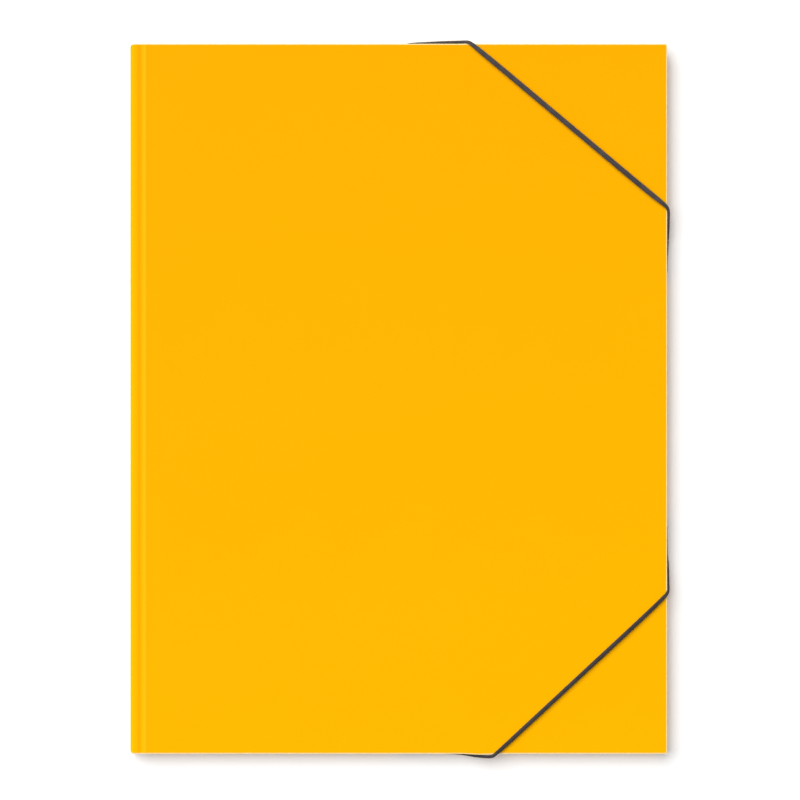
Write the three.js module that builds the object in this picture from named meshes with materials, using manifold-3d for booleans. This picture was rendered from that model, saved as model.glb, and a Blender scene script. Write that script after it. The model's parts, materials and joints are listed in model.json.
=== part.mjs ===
// Three flap folder for A4 papers: one folded sheet of pressboard, a hinged front cover,
// and two elastic cords that hold the cover's free corners down.
// Millimetres, +Z up. The folder lies shut on its back panel, with its spine at -X and its top edge at +Y.
// The origin is the middle of the closed folder's outline, on the back panel's outer face.

import * as THREE from 'three';
import { mergeVertices } from 'three/addons/utils/BufferGeometryUtils.js';
import Module from 'manifold-3d';

const wasm = await Module();
wasm.setup();

// Closed folder
const coverWidth = 242; // spine's outer face to the cover's free edge
const coverHeight = 320;
const boardThickness = 0.6;
const paperDepth = 5; // room for papers under the end flaps
const layerGap = 0.3; // between one folded layer and the next
const sideOverhang = 0.8; // the cover past the side flap's wall
const endOverhang = 0.8; // the cover past each end flap's wall
const coverCornerRadius = 0.7;

// Spine and hinge crease
const hingeStripWidth = 6.5; // spine's outer face to the crease
const creaseGap = 0.4; // between the strip's lip and the cover's, which stand in for one bent board
const beadHeight = 0.15; // scoring raises a low bead along the crease
const beadReach = 1.8; // how far the bead slopes down to each side
const spineInnerRadius = 1;
const spineMargin = 7; // back panel beside the spine, as long as the spine
const spineCornerRadius = 1.3;

// Flaps and their walls
const foldInnerRadius = 0.5;
const foldMargin = 4; // part of each flap's section that lies in the back panel
const endFlapDepth = 98;
const sideFlapDepth = 112;
const flapStraight = 4; // edge square to the fold before the slant starts
const flapTaper = 9; // how far each slanted edge runs in
const flapShoulderRadius = 9;
const flapCornerRadius = 16;
const cornerRelief = 3; // each wall stops this short of the corner
const spineRelief = 1; // slit between the spine's margin and an end flap

// Holes punched across the creases for the elastics
const holeDiameter = 7;
const endHoleFromFreeEdge = 118.5;
const sideHoleFromEnd = 104;

// Elastics
const cordDiameter = 2.3;
const cordGap = 0.3; // between a cord and the board
const cordSides = 8;
const stepsPerPoint = 4;
const upperEndCrossing = 87.2; // from the free corner to where the cord crosses the top edge
const upperSideCrossing = 73; // the same, down the free edge
const lowerEndCrossing = 78.6;
const lowerSideCrossing = 73.4;
const cordTip = 1; // cord past its clip
const holeSag = 0.5; // how far the cord sinks on its way out through the hole
const runStart = 5; // from the hole to where the cord lies along the wall
const bendLead = 6; // from where the cord reaches the cover's edge to its bend over it
const bendRadius = 1.5; // of that bend, on the side of the board

// Crimped T clips on the cords' ends
const clipThickness = 0.5;
const clipLength = 13;
const clipWidth = 2.2;
const collarLength = 4;
const collarWall = 0.35;
const collarGap = 0.25; // between collar and cord
const collarSeam = 0.5;

// Levels and edges that follow from them
const foldOuterRadius = foldInnerRadius + boardThickness;
const endFlapTop = boardThickness + paperDepth + boardThickness;
const sideFlapTop = endFlapTop + layerGap + boardThickness;
const folderThickness = sideFlapTop + layerGap + boardThickness;
const spineX = -coverWidth / 2;
const freeX = coverWidth / 2;
const endY = coverHeight / 2;
const creaseX = spineX + hingeStripWidth;
const sideWallX = freeX - sideOverhang;
const endWallY = endY - endOverhang;
const endFlapStart = spineX + spineMargin + spineRelief;
const endFlapEnd = sideWallX - cornerRelief;
const cordRadius = cordDiameter / 2;
const collarBore = cordRadius + collarGap;
const collarRadius = collarBore + collarWall;
const clipZ = boardThickness + layerGap + collarRadius;

const QUARTER = Math.PI / 2;
const CURVE_SEGMENTS = 6;
const HOLE_SEGMENTS = 24;
const SHORTEST_EDGE = 0.004; // shorter ones, left where facets cross, are merged away
const DIAGONAL_SHARES = [0.04, 0.12, 0.5, 0.88, 0.96]; // where a cord's straight run over the cover has points

// The four sides of the folder: the turn from +X to the side's outward direction, and its wall's middle.
const SIDES = {
  free: { turn: 0, x: sideWallX, y: 0 },
  top: { turn: QUARTER, x: 0, y: endWallY },
  spine: { turn: 2 * QUARTER, x: spineX, y: 0 },
  bottom: { turn: -QUARTER, x: 0, y: -endWallY },
};

// Each hole's distance along its side, with the clip that holds the cord behind it.
const endHoleX = freeX - endHoleFromFreeEdge;
const sideHoleY = endY - sideHoleFromEnd;
const holes = [
  { clip: 'upper_end_clip', side: SIDES.top, at: -endHoleX },
  { clip: 'upper_side_clip', side: SIDES.free, at: sideHoleY },
  { clip: 'lower_side_clip', side: SIDES.free, at: -sideHoleY },
  { clip: 'lower_end_clip', side: SIDES.bottom, at: endHoleX },
];

const board = new THREE.MeshStandardMaterial({ color: 0xffb800, roughness: 0.5, metalness: 0 });
const elastic = new THREE.MeshStandardMaterial({ color: 0x2c2a29, roughness: 0.85, metalness: 0 });
const steel = new THREE.MeshStandardMaterial({ color: 0xb4b7bb, roughness: 0.35, metalness: 0.9 });

function toSolid(geometry) {
  const bare = geometry.clone();
  bare.deleteAttribute('normal');
  bare.deleteAttribute('uv');
  const merged = mergeVertices(bare, 1e-4);
  return new wasm.Manifold(new wasm.Mesh({
    numProp: 3,
    vertProperties: new Float32Array(merged.attributes.position.array),
    triVerts: new Uint32Array(merged.index.array),
  }));
}

function toGeometry(solid) {
  const { vertProperties, triVerts } = solid.asOriginal().simplify(SHORTEST_EDGE).getMesh();
  const geometry = new THREE.BufferGeometry();
  geometry.setAttribute('position', new THREE.BufferAttribute(vertProperties, 3));
  geometry.setIndex(new THREE.BufferAttribute(triVerts, 1));
  geometry.computeVertexNormals();
  return geometry;
}

function prism(shape, depth) {
  return new THREE.ExtrudeGeometry(shape, { depth, bevelEnabled: false, curveSegments: CURVE_SEGMENTS });
}

// A section drawn outwards (x) and up (y), drawn out along the edge and centred on it.
function alongEdge(section, length) {
  return prism(section, length).translate(0, 0, -length / 2).rotateX(QUARTER);
}

// Turns what is modelled with +X outwards to one side of the folder, and puts it on that side's wall.
function placeOn(side, geometry, shift = 0) {
  return geometry.translate(0, shift, 0).rotateZ(side.turn).translate(side.x, side.y, 0);
}

// A closed outline with a true arc in each corner, from corner points in counter-clockwise order.
function roundedOutline(corners) {
  const points = corners.map(([x, y]) => new THREE.Vector2(x, y));
  const shape = new THREE.Shape();
  points.forEach((corner, i) => {
    const radius = corners[i][2] ?? 0;
    const back = points.at(i - 1).clone().sub(corner).normalize();
    const ahead = points[(i + 1) % points.length].clone().sub(corner).normalize();
    const halfAngle = Math.acos(back.dot(ahead)) / 2;
    const inset = radius / Math.tan(halfAngle);
    const centre = back.clone().add(ahead).normalize().multiplyScalar(radius / Math.sin(halfAngle)).add(corner);
    const from = corner.clone().addScaledVector(back, inset);
    const to = corner.clone().addScaledVector(ahead, inset);
    if (i === 0) {
      shape.moveTo(from.x, from.y);
    } else {
      shape.lineTo(from.x, from.y);
    }
    if (radius > 0) {
      shape.absarc(centre.x, centre.y, radius, from.sub(centre).angle(), to.sub(centre).angle(), false);
    }
  });
  shape.closePath();
  return shape;
}

// The board's edge at the hinge crease, drawn leftwards along its face and back under it:
// the board slopes up into the bead and ends in a round nose.
function creaseLip(section, noseX, faceY) {
  const radius = boardThickness / 2;
  const slopeX = noseX + beadReach;
  const middleX = (noseX + radius + slopeX) / 2;
  const beadY = faceY + beadHeight;
  section.lineTo(slopeX, faceY);
  section.bezierCurveTo(middleX, faceY, middleX, beadY, noseX + radius, beadY);
  section.absarc(noseX + radius, beadY - radius, radius, QUARTER, 3 * QUARTER, false);
  section.bezierCurveTo(
    middleX, beadY - boardThickness,
    middleX, faceY - boardThickness,
    slopeX, faceY - boardThickness,
  );
}

// The section of a sheet that runs outwards, folds up into a wall and folds back over itself.
// The wall's outer face is at x = 0 and the sheet's outer face at y = 0.
function gussetSection(base, height, lip, innerRadius, endsAtCrease = false) {
  const outerRadius = innerRadius + boardThickness;
  const upperY = height - outerRadius;
  const section = new THREE.Shape();
  section.moveTo(-base, 0);
  section.lineTo(-outerRadius, 0);
  section.absarc(-outerRadius, outerRadius, outerRadius, -QUARTER, 0, false);
  section.absarc(-outerRadius, upperY, outerRadius, 0, QUARTER, false);
  if (endsAtCrease) {
    creaseLip(section, -lip, height);
  } else {
    section.lineTo(-lip, height);
    section.lineTo(-lip, height - boardThickness);
  }
  section.absarc(-outerRadius, upperY, innerRadius, QUARTER, 0, true);
  section.absarc(-outerRadius, outerRadius, innerRadius, 0, -QUARTER, true);
  section.lineTo(-base, boardThickness);
  section.closePath();
  return section;
}

// A flap with its wall. Its plan runs straight in from the fold, slants in, and ends in round corners.
function flap(side, start, end, height, depth) {
  const half = (end - start) / 2;
  const section = alongEdge(gussetSection(foldMargin, height, depth, foldInnerRadius), end - start);
  const plan = prism(roundedOutline([
    [0, -half],
    [0, half],
    [-flapStraight, half, flapShoulderRadius],
    [-depth, half - flapTaper, flapCornerRadius],
    [-depth, flapTaper - half, flapCornerRadius],
    [-flapStraight, -half, flapShoulderRadius],
  ]), height);
  const middle = (start + end) / 2;
  return toSolid(placeOn(side, section, middle)).intersect(toSolid(placeOn(side, plan, middle)));
}

// A round hole punched across a crease: half of it lies in the back panel and half in the wall.
function creaseHole(side, at) {
  const creaseInset = foldOuterRadius - QUARTER * (foldInnerRadius + boardThickness / 2) / 2;
  const radius = holeDiameter / 2;
  const inPanel = new THREE.CylinderGeometry(radius, radius, 2 * foldOuterRadius, HOLE_SEGMENTS)
    .rotateX(QUARTER)
    .translate(-creaseInset, 0, 0);
  const inWall = new THREE.CylinderGeometry(radius, radius, 2 * foldOuterRadius, HOLE_SEGMENTS)
    .rotateZ(QUARTER)
    .translate(0, 0, creaseInset);
  return toSolid(placeOn(side, inPanel, at)).add(toSolid(placeOn(side, inWall, at)));
}

// Back panel, spine, hinge strip and the three flaps, folded from one sheet.
function folderSheet() {
  const panelStart = spineX + foldOuterRadius + spineInnerRadius;
  const panelEnd = sideWallX - foldOuterRadius;
  const panelHeight = 2 * (endWallY - foldOuterRadius);
  const panel = new THREE.BoxGeometry(panelEnd - panelStart, panelHeight, boardThickness)
    .translate((panelStart + panelEnd) / 2, 0, boardThickness / 2);

  const stripWidth = hingeStripWidth - creaseGap / 2;
  const spineSection = gussetSection(spineMargin, folderThickness, stripWidth, spineInnerRadius, true);
  const spinePlan = prism(roundedOutline([
    [0, -endY, spineCornerRadius],
    [0, endY, spineCornerRadius],
    [-spineMargin, endY],
    [-spineMargin, -endY],
  ]), folderThickness + beadHeight);
  const spine = toSolid(placeOn(SIDES.spine, alongEdge(spineSection, coverHeight)))
    .intersect(toSolid(placeOn(SIDES.spine, spinePlan)));

  const sideHalf = endWallY - cornerRelief;
  let sheet = toSolid(panel)
    .add(spine)
    .add(flap(SIDES.top, -endFlapEnd, -endFlapStart, endFlapTop, endFlapDepth))
    .add(flap(SIDES.bottom, endFlapStart, endFlapEnd, endFlapTop, endFlapDepth))
    .add(flap(SIDES.free, -sideHalf, sideHalf, sideFlapTop, sideFlapDepth));
  for (const { side, at } of holes) {
    sheet = sheet.subtract(creaseHole(side, at));
  }
  return toGeometry(sheet);
}

// The front cover from its rounded edge at the crease to its free edge, with its face at z = 0.
function frontCover() {
  const width = coverWidth - hingeStripWidth;
  const section = new THREE.Shape();
  section.moveTo(width, -boardThickness);
  section.lineTo(width, 0);
  creaseLip(section, creaseGap / 2, 0);
  section.closePath();
  const plan = prism(roundedOutline([
    [0, -endY],
    [width, -endY, coverCornerRadius],
    [width, endY, coverCornerRadius],
    [0, endY],
  ]), 2 * boardThickness).translate(0, 0, -boardThickness);
  return toGeometry(toSolid(alongEdge(section, coverHeight)).intersect(toSolid(plan)));
}

// A T shaped clip: a flat bar that lies behind the hole, and a rolled collar crimped round the cord.
// The bar's outer face is at z = 0, the bar lies along x, and the collar runs along +z into the folder.
function tClip() {
  const bar = prism(roundedOutline([
    [-clipLength / 2, -clipWidth / 2, clipWidth / 2],
    [clipLength / 2, -clipWidth / 2, clipWidth / 2],
    [clipLength / 2, clipWidth / 2, clipWidth / 2],
    [-clipLength / 2, clipWidth / 2, clipWidth / 2],
  ]), clipThickness);
  const depth = clipThickness + collarLength;
  const collar = new THREE.CylinderGeometry(collarRadius, collarRadius, depth, HOLE_SEGMENTS)
    .rotateX(QUARTER)
    .translate(0, 0, depth / 2);
  const bore = new THREE.CylinderGeometry(collarBore, collarBore, 3 * depth, HOLE_SEGMENTS).rotateX(QUARTER);
  const seam = new THREE.BoxGeometry(collarSeam, collarRadius, depth)
    .translate(0, collarRadius, depth / 2 + clipThickness);
  return toGeometry(toSolid(bar).add(toSolid(collar)).subtract(toSolid(bore)).subtract(toSolid(seam)));
}

// A cord's centre line, with as many steps between two of its points as between any other two.
class CordRoute extends THREE.CatmullRomCurve3 {
  getPointAt(u, target) {
    return this.getPoint(u, target);
  }

  getTangentAt(u, target) {
    return this.getTangent(u, target);
  }
}

// One end of a cord, from its tip inside the folder to where it lies on the cover.
// Each point is [along the edge, out from the wall, up]; turn is the way from the hole to the crossing.
function cordEnd(hole, crossing, overhang) {
  const turn = Math.sign(crossing - hole);
  const reach = cordRadius + cordGap;
  const barFace = -boardThickness - layerGap;
  const edge = overhang + reach;
  const coverBottom = folderThickness - boardThickness;
  return [
    [hole, barFace - clipThickness - collarLength - cordTip, clipZ],
    [hole, barFace - clipThickness - collarLength / 2, clipZ],
    [hole, barFace, clipZ],
    [hole + turn * layerGap, cordGap, clipZ - holeSag],
    [hole + turn * cordDiameter, reach + cordGap / 2, clipZ - holeSag],
    [hole + turn * runStart, reach + cordGap / 2, clipZ - holeSag / 2],
    [(hole + crossing) / 2, reach + overhang / 2, (clipZ + coverBottom) / 2],
    [crossing - turn * bendLead, edge, coverBottom - bendRadius],
    [crossing - turn * bendRadius, edge, coverBottom],
    [crossing, edge - cordGap / 2, folderThickness + cordRadius / 2],
    [crossing + turn * bendRadius, overhang, folderThickness + reach],
  ];
}

// One elastic over a free corner: way is +1 at the top and -1 at the bottom.
function cornerElastic(way, endCrossing, sideCrossing) {
  const overEnd = cordEnd(endHoleX, freeX - endCrossing, endOverhang)
    .map(([along, out, up]) => new THREE.Vector3(along, way * (endWallY + out), up));
  const overSide = cordEnd(sideHoleY, endY - sideCrossing, sideOverhang)
    .map(([along, out, up]) => new THREE.Vector3(sideWallX + out, way * along, up));
  const from = overEnd.at(-1);
  const to = overSide.at(-1);
  const acrossCover = DIAGONAL_SHARES.map((share) => from.clone().lerp(to, share));
  const route = new CordRoute([...overEnd, ...acrossCover, ...overSide.reverse()], false, 'centripetal');
  const section = new THREE.Shape();
  section.absarc(0, 0, cordRadius, 0, 4 * QUARTER, false);
  return new THREE.ExtrudeGeometry(section, {
    extrudePath: route,
    steps: (route.points.length - 1) * stepsPerPoint,
    curveSegments: cordSides / 2,
  });
}

function named(name, geometry, material) {
  const mesh = new THREE.Mesh(geometry, material);
  mesh.name = name;
  return mesh;
}

const folder = new THREE.Group();

folder.add(named('folder_sheet', folderSheet(), board));

const cover = named('front_cover', frontCover(), board);
cover.position.set(creaseX, 0, folderThickness);
folder.add(cover);

folder.add(named('upper_elastic', cornerElastic(1, upperEndCrossing, upperSideCrossing), elastic));
folder.add(named('lower_elastic', cornerElastic(-1, lowerEndCrossing, lowerSideCrossing), elastic));

for (const { clip, side, at } of holes) {
  const wall = new THREE.Group();
  wall.position.set(side.x, side.y, 0);
  wall.rotation.z = side.turn;
  const mesh = named(clip, tClip(), steel);
  mesh.position.set(-boardThickness - layerGap, at, clipZ);
  mesh.rotation.set(QUARTER, -QUARTER, 0);
  wall.add(mesh);
  folder.add(wall);
}

export default folder;
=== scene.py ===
"""Looks for the three flap folder: its folded board, cover, elastics, clips, light and camera.

Lengths are in millimetres until a mesh is made, and in metres from there on.
The board is cut flat as a pattern and then folded, as the real one is.
"""

import json
import math

import bpy
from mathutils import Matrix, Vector
from mathutils.geometry import delaunay_2d_cdt


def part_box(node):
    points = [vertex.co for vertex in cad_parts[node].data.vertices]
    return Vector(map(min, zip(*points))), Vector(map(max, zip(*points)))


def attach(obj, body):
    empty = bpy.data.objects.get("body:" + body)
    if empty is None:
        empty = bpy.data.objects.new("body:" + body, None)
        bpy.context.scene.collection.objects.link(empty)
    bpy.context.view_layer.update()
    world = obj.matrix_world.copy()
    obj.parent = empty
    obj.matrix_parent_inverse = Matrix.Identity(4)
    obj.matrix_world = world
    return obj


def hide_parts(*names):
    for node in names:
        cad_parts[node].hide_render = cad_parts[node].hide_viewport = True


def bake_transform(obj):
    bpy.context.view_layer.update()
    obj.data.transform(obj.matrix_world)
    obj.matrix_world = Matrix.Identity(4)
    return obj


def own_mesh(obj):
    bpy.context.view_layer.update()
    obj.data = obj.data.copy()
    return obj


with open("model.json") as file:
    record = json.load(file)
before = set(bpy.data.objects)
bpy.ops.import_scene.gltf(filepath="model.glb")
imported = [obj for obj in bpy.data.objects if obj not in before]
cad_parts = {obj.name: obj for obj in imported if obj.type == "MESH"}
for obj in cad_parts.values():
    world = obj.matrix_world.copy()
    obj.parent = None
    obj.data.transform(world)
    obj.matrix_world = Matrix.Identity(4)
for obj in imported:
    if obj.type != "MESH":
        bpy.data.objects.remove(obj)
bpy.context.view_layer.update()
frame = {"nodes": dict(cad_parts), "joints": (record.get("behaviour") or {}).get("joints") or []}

MM = 0.001
QUARTER = math.pi / 2


def box_mm(node):
    low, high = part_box(node)
    return low / MM, high / MM


sheet_low, sheet_high = box_mm("folder_sheet")
cover_low, cover_high = box_mm("front_cover")
hinge = Vector(frame["joints"][0]["pos_m"]) / MM

# Board, as in the part's source
BOARD = 0.6
BEAD = 0.15
SPINE_INNER = 1.0
FOLD_INNER = 0.5
SPINE_MARGIN = 7.0
SPINE_CORNER = 1.3
SPINE_RELIEF = 1.0
CORNER_RELIEF = 3.0
COVER_CORNER = 0.7
END_FLAP_DEPTH = 98.0
SIDE_FLAP_DEPTH = 112.0
FLAP_STRAIGHT = 4.0
FLAP_TAPER = 9.0
FLAP_SHOULDER = 9.0
FLAP_CORNER = 16.0
PAPER_DEPTH = 5.0
LAYER_GAP = 0.3
HOLE_RADIUS = 3.5
END_OVERHANG = 0.8

# Levels and edges that follow from them or from the frame
SPINE_X = sheet_low.x
SIDE_WALL_X = sheet_high.x
FREE_X = cover_high.x
END_Y = cover_high.y
END_WALL_Y = END_Y - END_OVERHANG
COVER_TOP = cover_high.z - BEAD
CREASE_X = hinge.x
FOLD_OUTER = FOLD_INNER + BOARD
SPINE_OUTER = SPINE_INNER + BOARD
END_FLAP_TOP = BOARD + PAPER_DEPTH + BOARD
SIDE_FLAP_TOP = END_FLAP_TOP + LAYER_GAP + BOARD
PANEL_LEFT = SPINE_X + SPINE_OUTER
PANEL_RIGHT = SIDE_WALL_X - FOLD_OUTER
PANEL_END = END_WALL_Y - FOLD_OUTER

# The cover's cut edge, worn to a shoulder: how wide and how deep
SHOULDER = 0.42
SHOULDER_DEPTH = 0.14

# How finely the board is divided; HOLD is a line of points that keeps the face beside a bend flat
BEND_STEPS = 8
HOLD = 0.35
HOLE_STEPS = 40
ARC_STEPS = 14
SEAM_TOLERANCE = 0.001


# Meshes


def add_mesh(name, points, faces, materials, face_slots=None, sharp=math.radians(32)):
    """A smooth-shaded piece from points in millimetres, with sharp edges where its faces turn sharply."""
    mesh = bpy.data.meshes.new(name)
    mesh.from_pydata([tuple(c * MM for c in p) for p in points], [], faces)
    for material in materials:
        mesh.materials.append(material)
    if face_slots:
        mesh.polygons.foreach_set("material_index", face_slots)
    mesh.polygons.foreach_set("use_smooth", [True] * len(mesh.polygons))
    mesh.set_sharp_from_angle(angle=sharp)
    mesh.validate()
    mesh.update()
    piece = bpy.data.objects.new(name, mesh)
    bpy.context.scene.collection.objects.link(piece)
    return piece


def folded(run, height, inner_radius):
    """Where the middle of the board lies once it is folded up into a wall and back over itself.

    run is the way along the board from the start of the first bend. The result is how far out and
    how high that point lies, and the direction of the board's outer face there.
    """
    middle = inner_radius + BOARD / 2
    outer = inner_radius + BOARD
    bend = middle * QUARTER
    wall = height - 2 * outer
    if run <= 0:
        return run, BOARD / 2, 0.0, -1.0
    if run < bend:
        turn = run / middle
        return middle * math.sin(turn), outer - middle * math.cos(turn), math.sin(turn), -math.cos(turn)
    run -= bend
    if run < wall:
        return middle, outer + run, 1.0, 0.0
    run -= wall
    if run < bend:
        turn = run / middle
        up = height - outer + middle * math.sin(turn)
        return middle * math.cos(turn), up, math.cos(turn), math.sin(turn)
    return bend - run, height - BOARD / 2, 0.0, 1.0


def lengths(height, inner_radius):
    """A bend's length along the middle of the board, and the length of the wall between two bends."""
    return (inner_radius + BOARD / 2) * QUARTER, height - 2 * (inner_radius + BOARD)


def fold_stations(height, inner_radius):
    """Runs at which the folded board needs a line of points."""
    bend, wall = lengths(height, inner_radius)
    first = [bend * i / BEND_STEPS for i in range(BEND_STEPS + 1)]
    second = [bend + wall + run for run in first]
    return [-HOLD, *first, bend + HOLD, bend + wall / 2, bend + wall - HOLD, *second, second[-1] + HOLD]


def rounded(corners):
    """A polyline with an arc in each corner that has a radius, from (x, y, radius) in order."""
    points = []
    for i, (x, y, radius) in enumerate(corners):
        corner = Vector((x, y))
        if not radius:
            points.append(corner)
            continue
        back = (Vector(corners[i - 1][:2]) - corner).normalized()
        ahead = (Vector(corners[(i + 1) % len(corners)][:2]) - corner).normalized()
        half = back.angle(ahead) / 2
        centre = corner + (back + ahead).normalized() * (radius / math.sin(half))
        start = corner + back * (radius / math.tan(half)) - centre
        end = corner + ahead * (radius / math.tan(half)) - centre
        sweep = start.angle_signed(end)
        for k in range(ARC_STEPS + 1):
            turn = -sweep * k / ARC_STEPS
            points.append(centre + Vector((
                start.x * math.cos(turn) - start.y * math.sin(turn),
                start.x * math.sin(turn) + start.y * math.cos(turn),
            )))
    return points


class Pattern:
    """The folder sheet cut flat: outline points, lines that must be edges, holes, and how it folds."""

    def __init__(self):
        self.points = []
        self.edges = []
        self.outline = []
        self.holes = []

    def add(self, point):
        self.points.append(Vector(point))
        return len(self.points) - 1

    def loop(self, points):
        first = len(self.points)
        for point in points:
            self.add(point)
        count = len(points)
        self.edges += [(first + i, first + (i + 1) % count) for i in range(count)]

    def line(self, a, b):
        self.edges.append((self.add(a), self.add(b)))


def flap_sides(start, end, height, depth):
    """A flap's outline as (along, run) points, from where it leaves the panel at start round to end."""
    bend, wall = lengths(height, FOLD_INNER)
    flat = 2 * bend + wall - FOLD_OUTER
    stations = [run for run in fold_stations(height, FOLD_INNER) if run >= 0]
    tip = rounded([
        (start, flat + FOLD_OUTER, 0),
        (start, flat + FLAP_STRAIGHT, FLAP_SHOULDER),
        (start + FLAP_TAPER, flat + depth, FLAP_CORNER),
        (end - FLAP_TAPER, flat + depth, FLAP_CORNER),
        (end, flat + FLAP_STRAIGHT, FLAP_SHOULDER),
        (end, flat + FOLD_OUTER, 0),
    ])
    up = [Vector((start, run)) for run in stations]
    down = [Vector((end, run)) for run in reversed(stations)]
    return [*up, *tip[1:-1], *down]


def inside(point, polygon):
    """Whether the point is in the polygon: a line from it crosses the outline an odd number of times."""
    odd = False
    for i, a in enumerate(polygon):
        b = polygon[i - 1]
        if (a.y > point.y) != (b.y > point.y) and point.x < (b.x - a.x) * (point.y - a.y) / (b.y - a.y) + a.x:
            odd = not odd
    return odd


def spine_end(x):
    """How far along Y the board reaches at x, with the spine's rounded corners and the cover's."""
    near_spine = max(0.0, SPINE_X + SPINE_CORNER - x)
    near_free = max(0.0, x - (FREE_X - COVER_CORNER))
    cut = SPINE_CORNER - math.sqrt(max(0.0, SPINE_CORNER**2 - near_spine**2))
    return END_Y - cut - (COVER_CORNER - math.sqrt(max(0.0, COVER_CORNER**2 - near_free**2)))


SPINE_BEND, SPINE_WALL = lengths(COVER_TOP, SPINE_INNER)
SEAM_RUN = SPINE_BEND + SPINE_WALL / 2


def fold_sheet_point(u, v):
    """Folds a point of the flat pattern: returns the board's middle and its outer face's direction."""
    if v > PANEL_END and u > PANEL_LEFT + SPINE_MARGIN - SPINE_OUTER:
        out, up, n_out, n_up = folded(v - PANEL_END, END_FLAP_TOP, FOLD_INNER)
        return Vector((u, PANEL_END + out, up)), Vector((0, n_out, n_up))
    if v < -PANEL_END and u > PANEL_LEFT + SPINE_MARGIN - SPINE_OUTER:
        out, up, n_out, n_up = folded(-v - PANEL_END, END_FLAP_TOP, FOLD_INNER)
        return Vector((u, -PANEL_END - out, up)), Vector((0, -n_out, n_up))
    if u > PANEL_RIGHT:
        out, up, n_out, n_up = folded(u - PANEL_RIGHT, SIDE_FLAP_TOP, FOLD_INNER)
        return Vector((PANEL_RIGHT + out, v, up)), Vector((n_out, 0, n_up))
    if u < PANEL_LEFT:
        out, up, n_out, n_up = folded(PANEL_LEFT - u, COVER_TOP, SPINE_INNER)
        return Vector((PANEL_LEFT - out, v, up)), Vector((-n_out, 0, n_up))
    return Vector((u, v, BOARD / 2)), Vector((0, 0, -1))


def sheet_pattern():
    """Back panel, lower half of the spine and the three flaps, as one flat outline with its holes."""
    margin_x = SPINE_X + SPINE_MARGIN
    flap_start = margin_x + SPINE_RELIEF
    flap_end = SIDE_WALL_X - CORNER_RELIEF
    side_half = END_WALL_Y - CORNER_RELIEF
    end_flap = flap_sides(flap_start, flap_end, END_FLAP_TOP, END_FLAP_DEPTH)
    side_flap = flap_sides(-side_half, side_half, SIDE_FLAP_TOP, SIDE_FLAP_DEPTH)
    spine_runs = [SPINE_BEND * i / BEND_STEPS for i in range(BEND_STEPS + 1)]
    spine_runs += [SPINE_BEND + HOLD, SEAM_RUN]
    spine_edge = [
        Vector((PANEL_LEFT - run, spine_end(PANEL_LEFT - folded(run, COVER_TOP, SPINE_INNER)[0])))
        for run in spine_runs
    ]

    outline = [Vector((margin_x, -END_Y)), Vector((margin_x, -PANEL_END))]
    outline += [Vector((along, -PANEL_END - run)) for along, run in end_flap]
    outline += [Vector((PANEL_RIGHT, -PANEL_END))]
    outline += [Vector((PANEL_RIGHT + run, along)) for along, run in side_flap]
    outline += [Vector((PANEL_RIGHT, PANEL_END))]
    outline += [Vector((along, PANEL_END + run)) for along, run in reversed(end_flap)]
    outline += [Vector((margin_x, PANEL_END)), Vector((margin_x, END_Y))]
    outline += spine_edge
    outline += [Vector((p.x, -p.y)) for p in reversed(spine_edge)]

    pattern = Pattern()
    pattern.outline = outline
    pattern.loop(outline)
    for run in fold_stations(END_FLAP_TOP, FOLD_INNER):
        for way in (1, -1):
            pattern.line((flap_start, way * (PANEL_END + run)), (flap_end, way * (PANEL_END + run)))
    for run in fold_stations(SIDE_FLAP_TOP, FOLD_INNER):
        pattern.line((PANEL_RIGHT + run, -side_half), (PANEL_RIGHT + run, side_half))
    for p in spine_edge:
        pattern.line((p.x, -p.y), (p.x, p.y))
    pattern.line((PANEL_LEFT + HOLD, -END_Y), (PANEL_LEFT + HOLD, END_Y))

    crease_mid = lengths(END_FLAP_TOP, FOLD_INNER)[0] / 2
    for clip in CLIPS:
        along = clip["along"]
        if clip["side"] == "free":
            centre = Vector((PANEL_RIGHT + crease_mid, along))
        else:
            way = 1 if clip["side"] == "top" else -1
            centre = Vector((along, way * (PANEL_END + crease_mid)))
        ring = [
            centre + HOLE_RADIUS * Vector((math.cos(t), math.sin(t)))
            for t in (2 * math.pi * k / HOLE_STEPS for k in range(HOLE_STEPS))
        ]
        pattern.holes.append(centre)
        pattern.loop(ring)
    return pattern


def clip_seats():
    """Where each clip lies along its side, from the frame's own nodes."""
    seats = []
    for node, side in (
        ("upper_end_clip", "top"),
        ("upper_side_clip", "free"),
        ("lower_side_clip", "free"),
        ("lower_end_clip", "bottom"),
    ):
        low, high = box_mm(node)
        middle = (low + high) / 2
        seats.append({"node": node, "side": side, "along": middle.y if side == "free" else middle.x})
    return seats


CLIPS = clip_seats()


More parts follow.
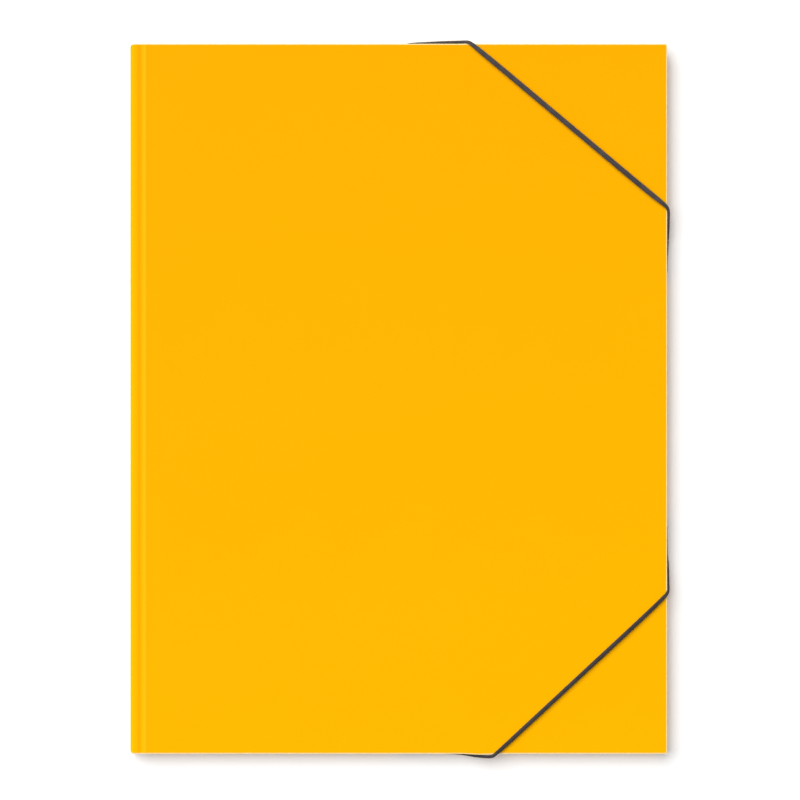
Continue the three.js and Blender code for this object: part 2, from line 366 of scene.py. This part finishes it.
def folded_board(materials):
    """The folder sheet: the pattern's faces, folded, with an inner face and a cut edge all round."""
    pattern = sheet_pattern()
    flat, _, triangles, *_ = delaunay_2d_cdt(pattern.points, pattern.edges, [], 0, 1e-5)
    hole_edge = HOLE_RADIUS * math.cos(math.pi / HOLE_STEPS)
    kept = []
    for corners in triangles:
        centre = sum((flat[k] for k in corners), Vector((0, 0))) / 3
        if inside(centre, pattern.outline) and all((centre - h).length > hole_edge for h in pattern.holes):
            kept.append(tuple(corners))

    outer, inner = [], []
    for p in flat:
        middle, direction = fold_sheet_point(p.x, p.y)
        outer.append(middle + direction * BOARD / 2)
        inner.append(middle - direction * BOARD / 2)
    count = len(flat)
    points = outer + inner
    faces, slots = [], []
    edge_use = {}
    for a, b, c in kept:
        faces.append((a, c, b))
        faces.append((a + count, b + count, c + count))
        slots += [0, 0]
        for edge in ((a, b), (b, c), (c, a)):
            edge_use.setdefault(frozenset(edge), []).append(edge)
    seam = PANEL_LEFT - SEAM_RUN
    for uses in edge_use.values():
        if len(uses) == 1:
            a, b = uses[0]
            faces.append((a, b, b + count, a + count))
            on_seam = all(abs(flat[k].x - seam) < SEAM_TOLERANCE for k in (a, b))
            slots.append(0 if on_seam else 1)
    used = sorted({k for face in faces for k in face})
    order = {old: new for new, old in enumerate(used)}
    points = [points[k] for k in used]
    faces = [tuple(order[k] for k in face) for face in faces]
    return add_mesh("folded_board", points, faces, materials, slots)


# Cover


# The crease's bead and the dip on its spine side: place beside the crease, spread and depth
BEAD_AT = 0.1
BEAD_SPREAD = 0.95
DIP_AT = -1.9
DIP_SPREAD = 0.65
DIP_DEPTH = 0.1
RIB_OFFSETS = (0.15, 0.34, 0.55, 0.8, 1.05, 1.3, 1.55, 1.8, 2.1, 2.4, 2.8, 3.4, 4.2)
INNER_RIB = 0.8

# The notch under the crease, and half the width that is left between its two sides
NOTCH = 0.45
NOTCH_SHARE = 0.8
CREASE_HALF = 0.02

# Where the lower elastic pulls the cover's edge out: place along X, spread, depth and share of the cover
BOW_AT = 37.0
BOW_SPREAD = 5.5
BOW_DEPTH = 0.4
BOW_REACH = 0.04

COVER_STEPS = 80
CORNER_STEPS = 6
ROW_STEPS = 108
END_ROWS = (-0.9985, -0.995, 0.995, 0.9985)


def rib(offset):
    """Height of the scored crease's bead, with the shallow dip on its spine side."""
    bead = BEAD * math.exp(-(((offset - BEAD_AT) / BEAD_SPREAD) ** 2))
    dip = DIP_DEPTH * math.exp(-(((offset - DIP_AT) / DIP_SPREAD) ** 2))
    return bead - dip


def notch(offset):
    """How much thinner the board is underneath, close to the crease, so that it folds there in a round."""
    near = max(0.0, 1 - abs(offset) / NOTCH)
    return NOTCH * (1 - math.sqrt(max(0.0, 1 - near * near))) * NOTCH_SHARE


def cover_section():
    """Pairs of (outer, inner) points as (x, z), from the seam in the spine to the cover's free edge."""
    bend, wall = SPINE_BEND, SPINE_WALL
    second = [bend + wall + bend * i / BEND_STEPS for i in range(BEND_STEPS + 1)]
    runs = [SEAM_RUN, bend + wall - HOLD, *second, second[-1] + HOLD]
    pairs = []
    for run in runs:
        out, up, n_out, n_up = folded(run, COVER_TOP, SPINE_INNER)
        middle = Vector((PANEL_LEFT - out, up))
        direction = Vector((-n_out, n_up))
        pairs.append((middle + direction * BOARD / 2, middle - direction * BOARD / 2))
    for offset in [-r for r in reversed(RIB_OFFSETS)] + list(RIB_OFFSETS):
        if CREASE_X + offset <= pairs[-1][0].x:
            continue
        tight = math.copysign(CREASE_HALF, offset) if abs(offset) == RIB_OFFSETS[0] else offset
        top = COVER_TOP + rib(offset)
        bottom = COVER_TOP - BOARD + rib(offset) * INNER_RIB + notch(tight)
        pairs.append((Vector((CREASE_X + offset, top)), Vector((CREASE_X + tight, bottom))))
    start = CREASE_X + RIB_OFFSETS[-1]
    end = FREE_X - COVER_CORNER
    for i in range(1, COVER_STEPS + 1):
        x = start + (end - start) * i / COVER_STEPS
        pairs.append((Vector((x, COVER_TOP)), Vector((x, COVER_TOP - BOARD))))
    for i in range(1, CORNER_STEPS + 1):
        x = end + COVER_CORNER * math.sin(QUARTER * i / CORNER_STEPS)
        pairs.append((Vector((x, COVER_TOP)), Vector((x, COVER_TOP - BOARD))))
    return pairs


def edge_bow(x):
    """How far the cover's lower edge is pulled out where the lower elastic goes round it."""
    return BOW_DEPTH * math.exp(-(((x - BOW_AT) / BOW_SPREAD) ** 2))


def cover_board(materials):
    """The front cover with the upper half of the spine, from its section swept between the two ends."""
    pairs = cover_section()
    rows = sorted([*(-1 + 2 * j / ROW_STEPS for j in range(ROW_STEPS + 1)), *END_ROWS])
    last = len(pairs) - 1
    near_free = FREE_X - 3 * COVER_CORNER
    points, index = [], {}

    def place(kind, i, j):
        """A point of the outer face, the inner face, or the rounded shoulder between them."""
        outer, inner = pairs[i]
        x, z = inner if kind == "inner" else outer
        y = rows[j] * spine_end(outer.x)
        if kind == "outer":
            x -= SHOULDER * max(0.0, (x - near_free) / (FREE_X - near_free))
            y -= SHOULDER * rows[j]
        if kind == "shoulder":
            x, z = outer + (inner - outer) * (SHOULDER_DEPTH / BOARD)
        near = max(0.0, (-rows[j] - 1 + BOW_REACH) / BOW_REACH)
        y -= edge_bow(x) * near**2 * (3 - 2 * near)
        return x, y, z

    def point(kind, i, j):
        key = (kind, i, j)
        if key not in index:
            index[key] = len(points)
            points.append(place(kind, i, j))
        return index[key]

    faces, slots = [], []
    top = len(rows) - 1
    for i in range(last):
        for j in range(top):
            faces.append([point("outer", *c) for c in ((i, j), (i + 1, j), (i + 1, j + 1), (i, j + 1))])
            faces.append([point("inner", *c) for c in ((i, j), (i, j + 1), (i + 1, j + 1), (i + 1, j))])
            slots += [0, 0]
    ring = [(i, 0) for i in range(last)] + [(last, j) for j in range(top)]
    ring += [(i, top) for i in range(last, 0, -1)]
    ring += [(0, top)]
    for a, b in zip(ring, ring[1:]):
        faces.append([point("outer", *b), point("outer", *a), point("shoulder", *a), point("shoulder", *b)])
        faces.append([point("shoulder", *b), point("shoulder", *a), point("inner", *a), point("inner", *b)])
        slots += [1, 1]
    seam = [point("outer", 0, j) for j in range(top, -1, -1)]
    seam += [point("shoulder", 0, 0)]
    seam += [point("inner", 0, j) for j in range(top + 1)]
    seam += [point("shoulder", 0, top)]
    faces.append(seam)
    slots.append(0)
    return add_mesh("cover_board", points, faces, materials, slots, sharp=math.radians(40))


# Elastics


def smooth_route(route, spacing):
    """Points a fixed way apart on a smooth curve through the route's (x, y, z, radius) points."""
    ends = [Vector(p) for p in route]
    ends = [2 * ends[0] - ends[1], *ends, 2 * ends[-1] - ends[-2]]
    fine = []
    for p0, p1, p2, p3 in zip(ends, ends[1:], ends[2:], ends[3:]):
        k0 = 0.0
        k1 = k0 + max((p1 - p0).length, 1e-6) ** 0.5
        k2 = k1 + max((p2 - p1).length, 1e-6) ** 0.5
        k3 = k2 + max((p3 - p2).length, 1e-6) ** 0.5
        parts = max(4, int((p2 - p1).length / (spacing * 0.5)))
        for n in range(parts):
            t = k1 + (k2 - k1) * n / parts
            a1 = p0 * ((k1 - t) / (k1 - k0)) + p1 * ((t - k0) / (k1 - k0))
            a2 = p1 * ((k2 - t) / (k2 - k1)) + p2 * ((t - k1) / (k2 - k1))
            a3 = p2 * ((k3 - t) / (k3 - k2)) + p3 * ((t - k2) / (k3 - k2))
            b1 = a1 * ((k2 - t) / (k2 - k0)) + a2 * ((t - k0) / (k2 - k0))
            b2 = a2 * ((k3 - t) / (k3 - k1)) + a3 * ((t - k1) / (k3 - k1))
            fine.append(b1 * ((k2 - t) / (k2 - k1)) + b2 * ((t - k1) / (k2 - k1)))
    fine.append(Vector(route[-1]))
    even, travelled = [fine[0]], 0.0
    for a, b in zip(fine, fine[1:]):
        length = (b.xyz - a.xyz).length
        while travelled + length >= spacing * len(even):
            share = (spacing * len(even) - travelled) / length
            even.append(a.lerp(b, min(1.0, max(0.0, share))))
        travelled += length
    return even


# The braid: yarns each way, sides and step of the mesh, length of a turn, and how far the yarns stand out
STRANDS = 8
CORD_SIDES = 32
CORD_STEP = 0.13
PITCH = 3.4
TURNS_A_PITCH = 1.5
RELIEF = 0.06
YARN_CURVE = 0.7
TIP_STEPS = 4


def braided_cord(name, route, material):
    """A round braided elastic: two sets of yarns wind against each other and cross over and under."""
    line = smooth_route(route, CORD_STEP)
    points, faces = [], []
    side = None
    for k, p in enumerate(line):
        ahead = (line[min(k + 1, len(line) - 1)].xyz - line[max(k - 1, 0)].xyz).normalized()
        side = Vector((0, 0, 1)) if side is None else side
        side = (side - ahead * side.dot(ahead)).normalized()
        across = ahead.cross(side)
        wound = 2 * math.pi * k * CORD_STEP / PITCH * TURNS_A_PITCH
        tip = min(1.0, (k + 0.5) / TIP_STEPS, (len(line) - k - 0.5) / TIP_STEPS) ** 0.5
        for s in range(CORD_SIDES):
            angle = 2 * math.pi * s / CORD_SIDES
            left = STRANDS * angle / 2 + wound
            right = STRANDS * angle / 2 - wound
            yarn = abs(math.cos(left) * math.cos(right)) ** YARN_CURVE
            radius = (p.w - RELIEF + RELIEF * yarn) * tip
            points.append(p.xyz + (side * math.cos(angle) + across * math.sin(angle)) * radius)
    for k in range(len(line) - 1):
        here, after = k * CORD_SIDES, (k + 1) * CORD_SIDES
        for s in range(CORD_SIDES):
            t = (s + 1) % CORD_SIDES
            faces.append((here + s, here + t, after + t, after + s))
    faces.append(tuple(range(CORD_SIDES))[::-1])
    faces.append(tuple((len(line) - 1) * CORD_SIDES + s for s in range(CORD_SIDES)))
    return add_mesh(name, points, faces, [material], sharp=math.radians(180))


# Each route runs from the tip behind the end clip, out through the hole, up round the cover's edge, over the
# corner and back the same way: (x, y, z, radius).
UPPER_ROUTE = (
    (2.5, 152.9, 2.65, 1.05), (2.5, 155.5, 2.65, 1.1), (2.5, 158.0, 2.6, 1.1),
    (2.9, 159.5, 2.3, 1.0), (4.4, 160.1, 2.4, 0.84), (7.5, 160.4, 2.9, 0.84),
    (13.0, 160.55, 4.0, 0.84), (18.5, 160.7, 5.3, 0.82), (24.0, 160.8, 6.3, 0.78),
    (28.0, 160.84, 7.0, 0.76), (30.2, 160.8, 7.8, 0.76), (31.6, 160.55, 8.52, 0.8),
    (33.2, 159.45, 9.0, 0.95), (36.5, 156.75, 9.14, 1.1), (45.0, 149.7, 9.22, 1.18),
    (77.0, 122.85, 9.22, 1.18), (108.0, 96.85, 9.22, 1.18), (116.0, 90.3, 9.14, 1.1),
    (119.5, 87.5, 9.0, 0.92), (121.2, 85.6, 8.62, 0.76), (121.62, 83.6, 7.8, 0.7),
    (121.65, 81.0, 7.05, 0.7), (121.45, 75.5, 6.2, 0.74), (121.2, 70.0, 5.2, 0.76),
    (121.0, 64.0, 4.0, 0.74), (120.98, 60.0, 3.0, 0.74), (120.95, 57.6, 2.5, 0.76),
    (120.4, 56.3, 2.4, 0.95), (118.9, 56.0, 2.6, 1.1), (116.5, 56.0, 2.65, 1.1),
    (113.9, 56.0, 2.65, 1.05),
)
LOWER_ROUTE = (
    (2.5, -152.9, 2.65, 0.98), (2.5, -155.5, 2.65, 1.0), (2.5, -158.0, 2.6, 1.0),
    (2.9, -159.4, 2.3, 0.9), (4.4, -159.86, 2.4, 0.64), (8.0, -159.86, 2.8, 0.62),
    (16.0, -159.86, 4.0, 0.62), (24.0, -159.9, 5.2, 0.62), (29.5, -160.3, 5.9, 0.66),
    (34.5, -161.0, 6.6, 0.74), (39.0, -161.35, 7.2, 0.74), (40.9, -161.3, 7.9, 0.74),
    (42.4, -160.9, 8.6, 0.76), (44.4, -159.3, 8.88, 0.84), (48.0, -156.05, 8.94, 0.9),
    (54.0, -150.5, 8.98, 0.94), (82.0, -124.5, 8.98, 0.94), (109.0, -99.4, 8.98, 0.94),
    (116.0, -92.7, 8.94, 0.9), (119.2, -89.5, 8.86, 0.84), (120.95, -87.6, 8.6, 0.76),
    (121.55, -86.0, 7.75, 0.6), (121.55, -83.0, 7.0, 0.6), (121.4, -76.0, 6.1, 0.62),
    (121.0, -70.0, 5.1, 0.68), (120.94, -64.0, 4.0, 0.7), (120.94, -60.0, 3.0, 0.7),
    (120.9, -57.6, 2.5, 0.72), (120.3, -56.3, 2.4, 0.9), (118.9, -56.0, 2.6, 1.0),
    (116.5, -56.0, 2.65, 1.0), (113.9, -56.0, 2.65, 0.98),
)


# Materials


class Nodes:
    """A material's nodes, made and joined by name."""

    def __init__(self, name):
        self.material = bpy.data.materials.new(name)
        self.material.use_nodes = True
        self.tree = self.material.node_tree
        self.tree.nodes.clear()
        self.output = self.tree.nodes.new("ShaderNodeOutputMaterial")

    def add(self, kind, inputs=None, **settings):
        node = self.tree.nodes.new(kind)
        for key, value in settings.items():
            setattr(node, key, value)
        for key, value in (inputs or {}).items():
            if isinstance(value, bpy.types.NodeSocket):
                self.tree.links.new(value, node.inputs[key])
            else:
                node.inputs[key].default_value = value
        return node

    def place(self, scale=(1, 1, 1), rotation=(0, 0, 0)):
        coordinates = self.add("ShaderNodeTexCoord")
        mapping = self.add("ShaderNodeMapping", {
            "Vector": coordinates.outputs["Object"], "Scale": scale, "Rotation": rotation,
        })
        return mapping.outputs["Vector"]

    def noise(self, scale, detail=2.0, roughness=0.5, vector=None):
        node = self.add("ShaderNodeTexNoise", {
            "Vector": vector or self.place(), "Scale": scale, "Detail": detail, "Roughness": roughness,
        })
        return node.outputs["Fac"]

    def ramp(self, value, low, high, low_colour, high_colour):
        node = self.add("ShaderNodeValToRGB", {"Fac": value})
        node.color_ramp.elements[0].position = low
        node.color_ramp.elements[0].color = (*low_colour, 1)
        node.color_ramp.elements[1].position = high
        node.color_ramp.elements[1].color = (*high_colour, 1)
        return node.outputs["Color"]

    def span(self, value, low, high):
        node = self.add("ShaderNodeMapRange", {"Value": value, "To Min": low, "To Max": high})
        return node.outputs["Result"]

    def band(self, middle, half):
        """1 along a line of constant X in millimetres, falling smoothly to 0 at half the band's width."""
        along = self.add("ShaderNodeSeparateXYZ", {"Vector": self.place()}).outputs["X"]
        shift = self.add("ShaderNodeMath", {0: along, 1: middle * MM}, operation="SUBTRACT").outputs[0]
        away = self.add("ShaderNodeMath", {0: shift}, operation="ABSOLUTE").outputs[0]
        fall = self.add("ShaderNodeMapRange", {
            "Value": away, "From Max": half * MM, "To Min": 1.0, "To Max": 0.0,
        }, interpolation_type="SMOOTHSTEP")
        return fall.outputs["Result"]

    def mix(self, blend, factor, a, b):
        node = self.add("ShaderNodeMix", data_type="RGBA", blend_type=blend)
        for key, value in (("Factor", factor), ("A", a), ("B", b)):
            sockets = [s for s in node.inputs if s.name == key and s.enabled]
            socket = sockets[0]
            if isinstance(value, bpy.types.NodeSocket):
                self.tree.links.new(value, socket)
            else:
                socket.default_value = value
        return next(s for s in node.outputs if s.enabled)

    def bump(self, height, strength, distance, normal=None):
        inputs = {"Height": height, "Strength": strength, "Distance": distance}
        if normal is not None:
            inputs["Normal"] = normal
        return self.add("ShaderNodeBump", inputs).outputs["Normal"]

    def finish(self, **inputs):
        shader = self.add("ShaderNodeBsdfPrincipled", {k.replace("_", " "): v for k, v in inputs.items()})
        self.tree.links.new(shader.outputs["BSDF"], self.output.inputs["Surface"])
        return self.material


def board_material():
    """Yellow pressboard: faint mottling, a few darker fibres and a calendered grain, with painted light: a
    falloff from bottom to top, highlights along the crease and beside the spine, and shade in the dip beside
    the crease.
    """
    m = Nodes("pressboard")
    height = m.add("ShaderNodeSeparateXYZ", {"Vector": m.place()}).outputs["Y"]
    # Painted light: both mottle tones are a little lighter towards the bottom and deeper towards the top,
    # standing in for light that falls off towards the top.
    painted_light_falloff = m.add("ShaderNodeMapRange", {
        "Value": height, "From Min": -END_Y * MM, "From Max": END_Y * MM,
    }).outputs["Result"]
    lighter = m.mix("MIX", painted_light_falloff, (0.925, 0.441, 0.0, 1), (0.925, 0.409, 0.0, 1))
    deeper = m.mix("MIX", painted_light_falloff, (0.905, 0.431, 0.0, 1), (0.905, 0.399, 0.0, 1))
    mottle = m.mix("MIX", m.noise(55, 3), deeper, lighter)
    fibre = m.noise(1.0, 3, 0.6, m.place(scale=(420, 1500, 900), rotation=(0, 0, 0.5)))
    specks = m.ramp(fibre, 0.24, 0.36, (0.93, 0.92, 0.9), (1, 1, 1))
    colour = m.mix("MULTIPLY", 1.0, mottle, specks)
    # Painted highlight: a lighter band along the crease's bead, standing in for the light caught on its
    # slope.
    painted_crease_highlight = m.band(CREASE_X + 0.1, 1.5)
    colour = m.mix("MIX", m.span(painted_crease_highlight, 0.0, 0.85), colour, (0.93, 0.50, 0.006, 1))
    # Painted highlight: a lighter band on the strip between the spine's fold and the crease.
    painted_spine_highlight = m.band(CREASE_X - 5.0, 2.4)
    colour = m.mix("MIX", m.span(painted_spine_highlight, 0.0, 0.85), colour, (0.93, 0.475, 0.0, 1))
    # Painted shade: a darker band in the dip on the crease's spine side, where the slope turns away from the
    # light.
    painted_dip_shade = m.band(CREASE_X - 2.4, 0.9)
    colour = m.mix("MIX", m.span(painted_dip_shade, 0.0, 0.6), colour, (0.88, 0.37, 0.0, 1))
    grain = m.noise(1900, 3, 0.6)
    weave = m.noise(420, 2, 0.5)
    normal = m.bump(grain, 0.12, 0.00005)
    normal = m.bump(weave, 0.10, 0.00010, normal)
    return m.finish(
        Base_Color=colour, Roughness=m.span(grain, 0.46, 0.6), Specular_IOR_Level=0.015, Normal=normal,
    )


def core_material():
    """The board's cut edge: paler pulp in thin layers."""
    m = Nodes("cut_edge")
    layers = m.noise(1.0, 3, 0.6, m.place(scale=(700, 700, 5200)))
    colour = m.ramp(layers, 0.3, 0.7, (0.90, 0.66, 0.24), (0.98, 0.84, 0.50))
    return m.finish(
        Base_Color=colour, Roughness=0.85, Specular_IOR_Level=0.1,
        Normal=m.bump(layers, 0.3, 0.00006),
    )


def elastic_material(name, dark, light):
    """Yarn with a soft sheen; the hollows between the yarns are darker."""
    m = Nodes(name)
    yarn = m.noise(1500, 2, 0.6)
    tone = m.noise(260, 2, 0.5)
    colour = m.mix(
        "MULTIPLY", 0.5,
        m.ramp(tone, 0.3, 0.7, dark, light),
        m.ramp(yarn, 0.3, 0.7, (0.6, 0.6, 0.6), (1, 1, 1)),
    )
    return m.finish(
        Base_Color=colour, Roughness=0.72, Specular_IOR_Level=0.3, Sheen_Weight=0.25,
        Normal=m.bump(yarn, 0.35, 0.00008),
    )


def steel_material():
    """Zinc-plated strip: fine rolling lines and small dull patches."""
    m = Nodes("plated_steel")
    lines = m.noise(1.0, 2, 0.5, m.place(scale=(240, 240, 5200)))
    patches = m.noise(700, 3, 0.6)
    return m.finish(
        Base_Color=m.ramp(patches, 0.3, 0.75, (0.50, 0.50, 0.51), (0.64, 0.64, 0.66)),
        Metallic=1.0, Roughness=m.span(lines, 0.26, 0.46), Normal=m.bump(lines, 0.15, 0.00004),
    )


def floor_material():
    """White paper: lit parts show as pure white, and the shadow stays."""
    m = Nodes("studio_floor")
    paper = m.noise(300, 2)
    diffuse = m.add("ShaderNodeBsdfDiffuse", {
        "Color": m.ramp(paper, 0.0, 1.0, (FLOOR_ALBEDO,) * 3, (FLOOR_ALBEDO + 0.02,) * 3),
    })
    camera = m.add("ShaderNodeLightPath").outputs["Is Camera Ray"]
    glow = m.add("ShaderNodeEmission", {"Strength": m.span(camera, 0.0, FLOOR_LIFT)})
    both = m.add("ShaderNodeAddShader")
    m.tree.links.new(diffuse.outputs["BSDF"], both.inputs[0])
    m.tree.links.new(glow.outputs["Emission"], both.inputs[1])
    m.tree.links.new(both.outputs["Shader"], m.output.inputs["Surface"])
    return m.material


# Stage

FLOOR_ALBEDO = 0.86
FLOOR_LIFT = 0.13
FLOOR_SIZE = 6.0
FLOOR_STEPS = 8
FLOOR_DROP = 0.05
KEY_STRENGTH = 3.6
KEY_LEAN = math.radians(34)
KEY_SOFTNESS = math.radians(62)
FILL_POWER = 0.8
FILL_SIZE = 0.5
FILL_PLACE = (-0.05, -0.75, 1.0)
AMBIENT = 0.15


def make_floor():
    half = FLOOR_SIZE / 2 / MM
    lines = [-half + 2 * half * i / FLOOR_STEPS for i in range(FLOOR_STEPS + 1)]
    points = [(x, y, -FLOOR_DROP) for x in lines for y in lines]
    faces = []
    for i in range(FLOOR_STEPS):
        for j in range(FLOOR_STEPS):
            a = i * len(lines) + j
            faces.append((a, a + len(lines), a + len(lines) + 1, a + 1))
    floor = add_mesh("floor", points, faces, [floor_material()])


def make_world():
    world = bpy.data.worlds.new("studio")
    world.use_nodes = True
    tree = world.node_tree
    background = tree.nodes["Background"]
    background.inputs["Color"].default_value = (1, 1, 1, 1)
    path = tree.nodes.new("ShaderNodeLightPath")
    strength = tree.nodes.new("ShaderNodeMapRange")
    strength.inputs["To Min"].default_value = AMBIENT
    strength.inputs["To Max"].default_value = 1.0
    tree.links.new(path.outputs["Is Camera Ray"], strength.inputs["Value"])
    tree.links.new(strength.outputs["Result"], background.inputs["Strength"])
    bpy.context.scene.world = world


def aim(lamp, place, target):
    lamp.location = place
    lamp.rotation_mode = "QUATERNION"
    lamp.rotation_quaternion = (Vector(target) - Vector(place)).to_track_quat("-Z", "Y")


def make_lights():
    key = bpy.data.lights.new("key", "SUN")
    key.energy = KEY_STRENGTH
    key.angle = KEY_SOFTNESS
    lamp = bpy.data.objects.new("key", key)
    bpy.context.scene.collection.objects.link(lamp)
    lean = math.sin(KEY_LEAN) / math.sqrt(2)
    aim(lamp, (-lean, lean, math.cos(KEY_LEAN)), (0, 0, 0))

    fill = bpy.data.lights.new("fill", "AREA")
    fill.energy = FILL_POWER
    fill.size = FILL_SIZE
    lamp = bpy.data.objects.new("fill", fill)
    bpy.context.scene.collection.objects.link(lamp)
    aim(lamp, FILL_PLACE, (0, 0, 0))


CAMERA_LENS = 120.0
CAMERA_SENSOR = 36.0
FRAME_WIDTH = 360.5
FRAME_CENTRE = (0.61, -0.54)


def make_camera():
    data = bpy.data.cameras.new("camera")
    data.lens = CAMERA_LENS
    data.sensor_width = CAMERA_SENSOR
    camera = bpy.data.objects.new("camera", data)
    bpy.context.scene.collection.objects.link(camera)
    height = COVER_TOP + FRAME_WIDTH * CAMERA_LENS / CAMERA_SENSOR
    camera.location = (FRAME_CENTRE[0] * MM, FRAME_CENTRE[1] * MM, height * MM)
    data.clip_start = 0.01
    data.clip_end = 50
    bpy.context.scene.camera = camera


# The scene

bpy.context.scene.view_settings.view_transform = "Standard"

board_finish = [board_material(), core_material()]
charcoal = elastic_material("charcoal_yarn", (0.043, 0.036, 0.035), (0.070, 0.060, 0.060))
darker = elastic_material("darker_yarn", (0.024, 0.020, 0.019), (0.042, 0.035, 0.034))
steel = steel_material()

sheet = folded_board(board_finish)
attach(sheet, "folded_sheet")
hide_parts("folder_sheet")

cover = cover_board(board_finish)
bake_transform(cover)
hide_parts("front_cover")

for name, node, route, yarn in (
    ("upper_cord", "upper_elastic", UPPER_ROUTE, charcoal),
    ("lower_cord", "lower_elastic", LOWER_ROUTE, darker),
):
    cord = braided_cord(name, route, yarn)
    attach(cord, "folded_sheet")
    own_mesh(cord)
    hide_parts(node)

for clip in CLIPS:
    mesh = frame["nodes"][clip["node"]].data
    mesh.materials.clear()
    mesh.materials.append(steel)

make_floor()
make_world()
make_lights()
make_camera()
